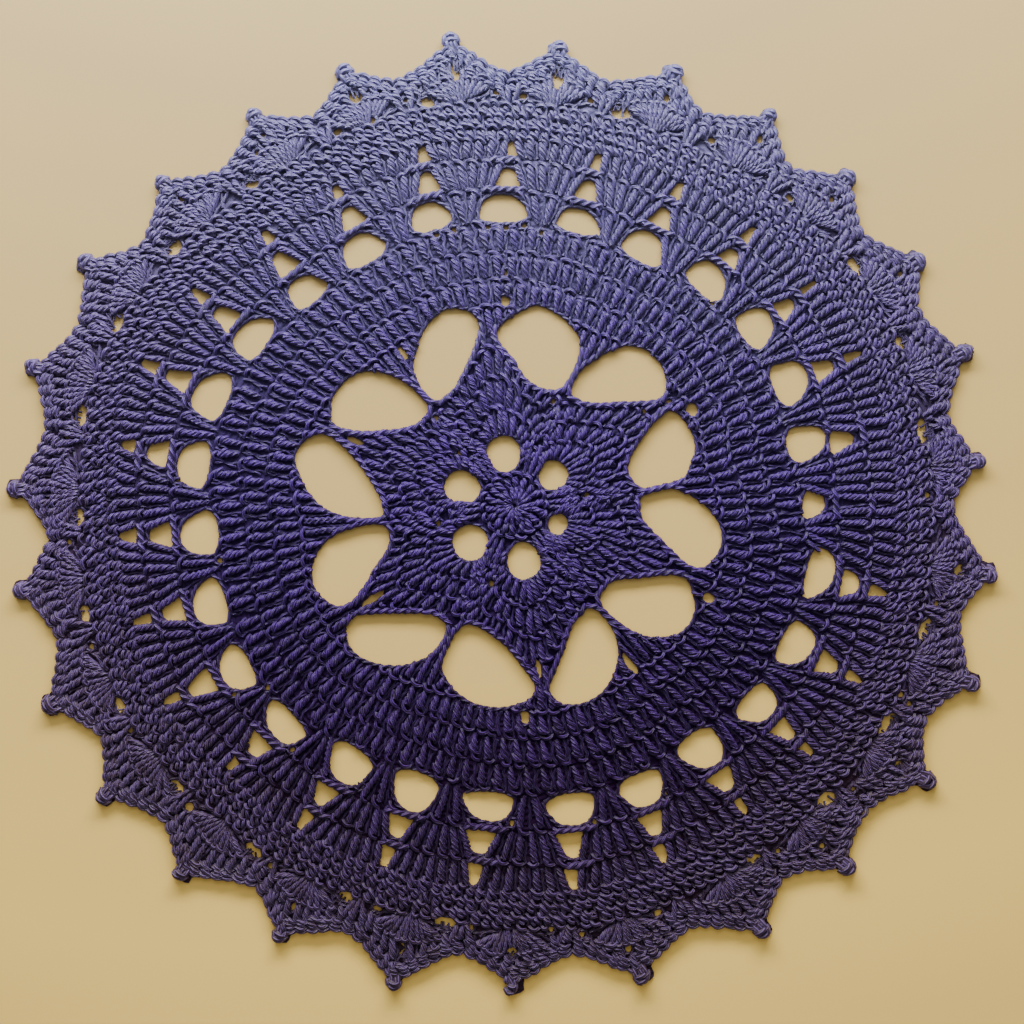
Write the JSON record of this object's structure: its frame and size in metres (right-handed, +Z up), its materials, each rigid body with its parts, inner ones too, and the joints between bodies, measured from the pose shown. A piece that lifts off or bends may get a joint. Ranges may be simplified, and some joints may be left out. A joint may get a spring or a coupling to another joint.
{
  "type": "lace doily",
  "caption": "Round crocheted lace doily with a pointed star in the middle, petal-shaped loops around it, open wedge rounds and a scalloped edge tipped with small knots.",
  "frame": {"origin": "underside of the doily at the starting ring in the middle of the rosette", "axes": "+Z up, away from the surface it lies on; +Y towards the top of the picture and +X towards its right"},
  "size_m": [0.3974, 0.3865, 0.0033],
  "materials": {
    "violet_yarn": "matte"
  },
  "bodies": {
    "root": {"doily": "violet_yarn"}
  },
  "joints": []
}
